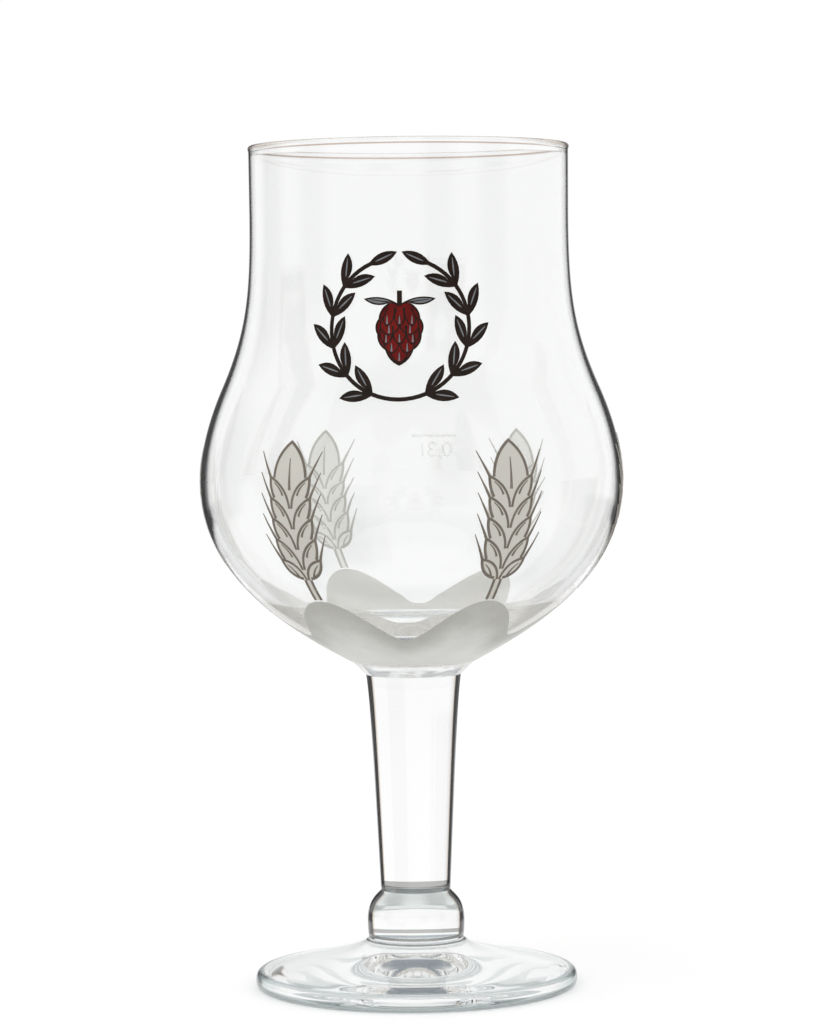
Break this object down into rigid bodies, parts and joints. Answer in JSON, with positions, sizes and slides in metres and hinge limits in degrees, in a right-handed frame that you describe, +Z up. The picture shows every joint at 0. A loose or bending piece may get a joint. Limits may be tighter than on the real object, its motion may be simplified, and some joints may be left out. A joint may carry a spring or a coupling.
{
  "type": "tulip beer glass",
  "caption": "Footed tulip beer glass: a flared blown bowl on a solid stem with a knop and a domed foot, with a satin coat, barley ears, a leaf wreath and a fill line in fired enamel.",
  "frame": {"origin": "middle of the foot, on the surface that the glass stands on", "axes": "+Z up along the axis of the glass; the front, with the wreath, faces -Y"},
  "size_m": [0.1068, 0.1062, 0.212],
  "materials": {
    "glass": "clear, fire-polished",
    "satin_enamel": "satin, slightly translucent",
    "black_enamel": "smooth fired enamel",
    "red_enamel": "smooth fired enamel",
    "pale_enamel": "satin fired enamel"
  },
  "bodies": {
    "root": {"bowl": "glass", "stem": "glass", "knop": "glass", "foot": "glass", "satin_coat": "satin_enamel", "barley_ear_1": "satin_enamel", "barley_ear_2": "satin_enamel", "barley_ear_3": "satin_enamel", "barley_ear_4": "satin_enamel", "barley_ear_5": "satin_enamel", "barley_ear_6": "satin_enamel", "wreath": "black_enamel", "hop_cone": "red_enamel", "fill_line": "pale_enamel"}
  },
  "joints": []
}
